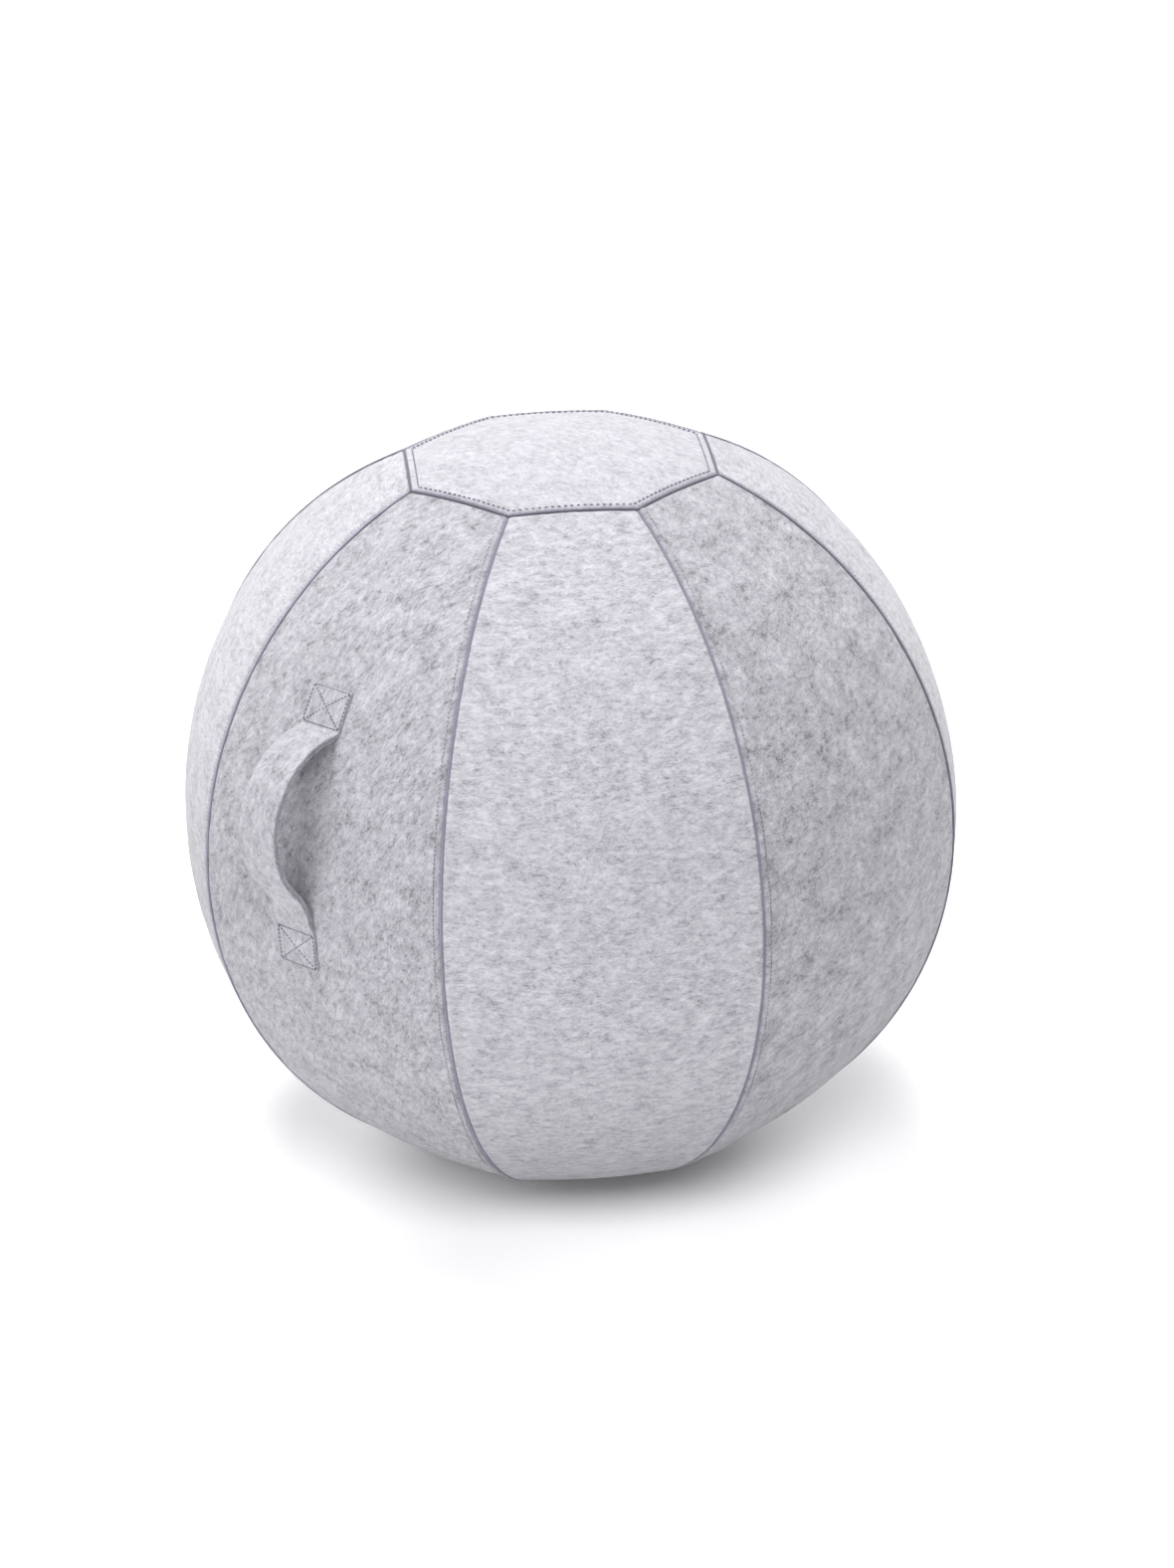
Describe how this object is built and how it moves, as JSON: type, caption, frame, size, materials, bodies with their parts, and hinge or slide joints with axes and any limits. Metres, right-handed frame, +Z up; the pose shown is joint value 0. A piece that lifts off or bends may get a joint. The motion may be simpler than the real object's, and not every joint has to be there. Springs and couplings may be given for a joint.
{
  "type": "exercise ball",
  "caption": "Sitting and exercise ball: an inflated inner ball in a zipped grey felt cover of gore panels, with end panels and a felt carrying handle.",
  "frame": {"origin": "on the floor, in the middle of the flat patch that the ball stands on", "axes": "+Z up through the middle of the top panel, -Y towards the side with the carrying handle, +X to the right as one faces the handle"},
  "size_m": [0.6339, 0.6726, 0.6123],
  "materials": {
    "felt": "light grey melange felt, pressed, short fibres",
    "strap_felt": "the same felt, doubled and edge-stitched",
    "thread": "matt grey-violet sewing thread",
    "zip_tape": "woven zip tape",
    "zip_teeth": "nylon coil",
    "zip_metal": "satin nickel",
    "inner_vinyl": "matt soft vinyl",
    "valve_plastic": "soft white plastic"
  },
  "bodies": {
    "ball": {"gore_panel_1": "felt", "gore_panel_2": "felt", "gore_panel_3": "felt", "gore_panel_4": "felt", "gore_panel_5": "felt", "gore_panel_6": "felt", "gore_panel_7": "felt", "gore_panel_8": "felt", "top_panel": "felt", "base_panel": "felt", "gore_seam_1": "thread", "gore_seam_2": "thread", "gore_seam_3": "thread", "gore_seam_4": "thread", "gore_seam_5": "thread", "gore_seam_6": "thread", "gore_seam_7": "thread", "gore_seam_8": "thread", "top_seam": "thread", "base_seam": "thread", "handle_pad_upper": "strap_felt", "handle_pad_lower": "strap_felt", "handle_stitch_upper": "thread", "handle_stitch_lower": "thread", "handle_root_upper": "strap_felt", "handle_root_lower": "strap_felt", "handle_neck": "strap_felt", "zip_tape_left": "zip_tape", "zip_tape_right": "zip_tape", "zip_teeth_left": "zip_teeth", "zip_teeth_right": "zip_teeth", "zip_top_stop_left": "zip_metal", "zip_top_stop_right": "zip_metal", "zip_bottom_stop": "zip_metal", "inner_ball": "inner_vinyl", "valve_seat": "valve_plastic", "valve_plug": "valve_plastic"},
    "handle": {"handle_arch": "strap_felt"},
    "slider": {"zip_slider": "zip_metal"},
    "pull": {"zip_pull": "zip_metal"}
  },
  "joints": [
    {"name": "handle_swing", "type": "hinge", "parent": "ball", "child": "handle", "pos_m": [-0.01061, -0.28065, 0.45653], "axis": [0.0058, 0.2376, 0.9713], "range_deg": [-40, 40], "stiffness_Nm_per_rad": 0.05, "deforming": ["handle_root_upper", "handle_neck", "handle_root_lower"]},
    {"name": "zip_slide", "type": "hinge", "parent": "ball", "child": "slider", "pos_m": [-0.00369, 0.00892, 0.30407], "axis": [-0.9239, -0.3827, 0], "range_deg": [0, 70.3], "deforming": ["zip_teeth_left", "zip_teeth_right", "zip_tape_left", "zip_tape_right"]},
    {"name": "pull_flip", "type": "hinge", "parent": "slider", "child": "pull", "pos_m": [-0.1218, 0.29406, 0.35994], "axis": [0.9239, 0.3827, 0], "range_deg": [0, 150]}
  ]
}
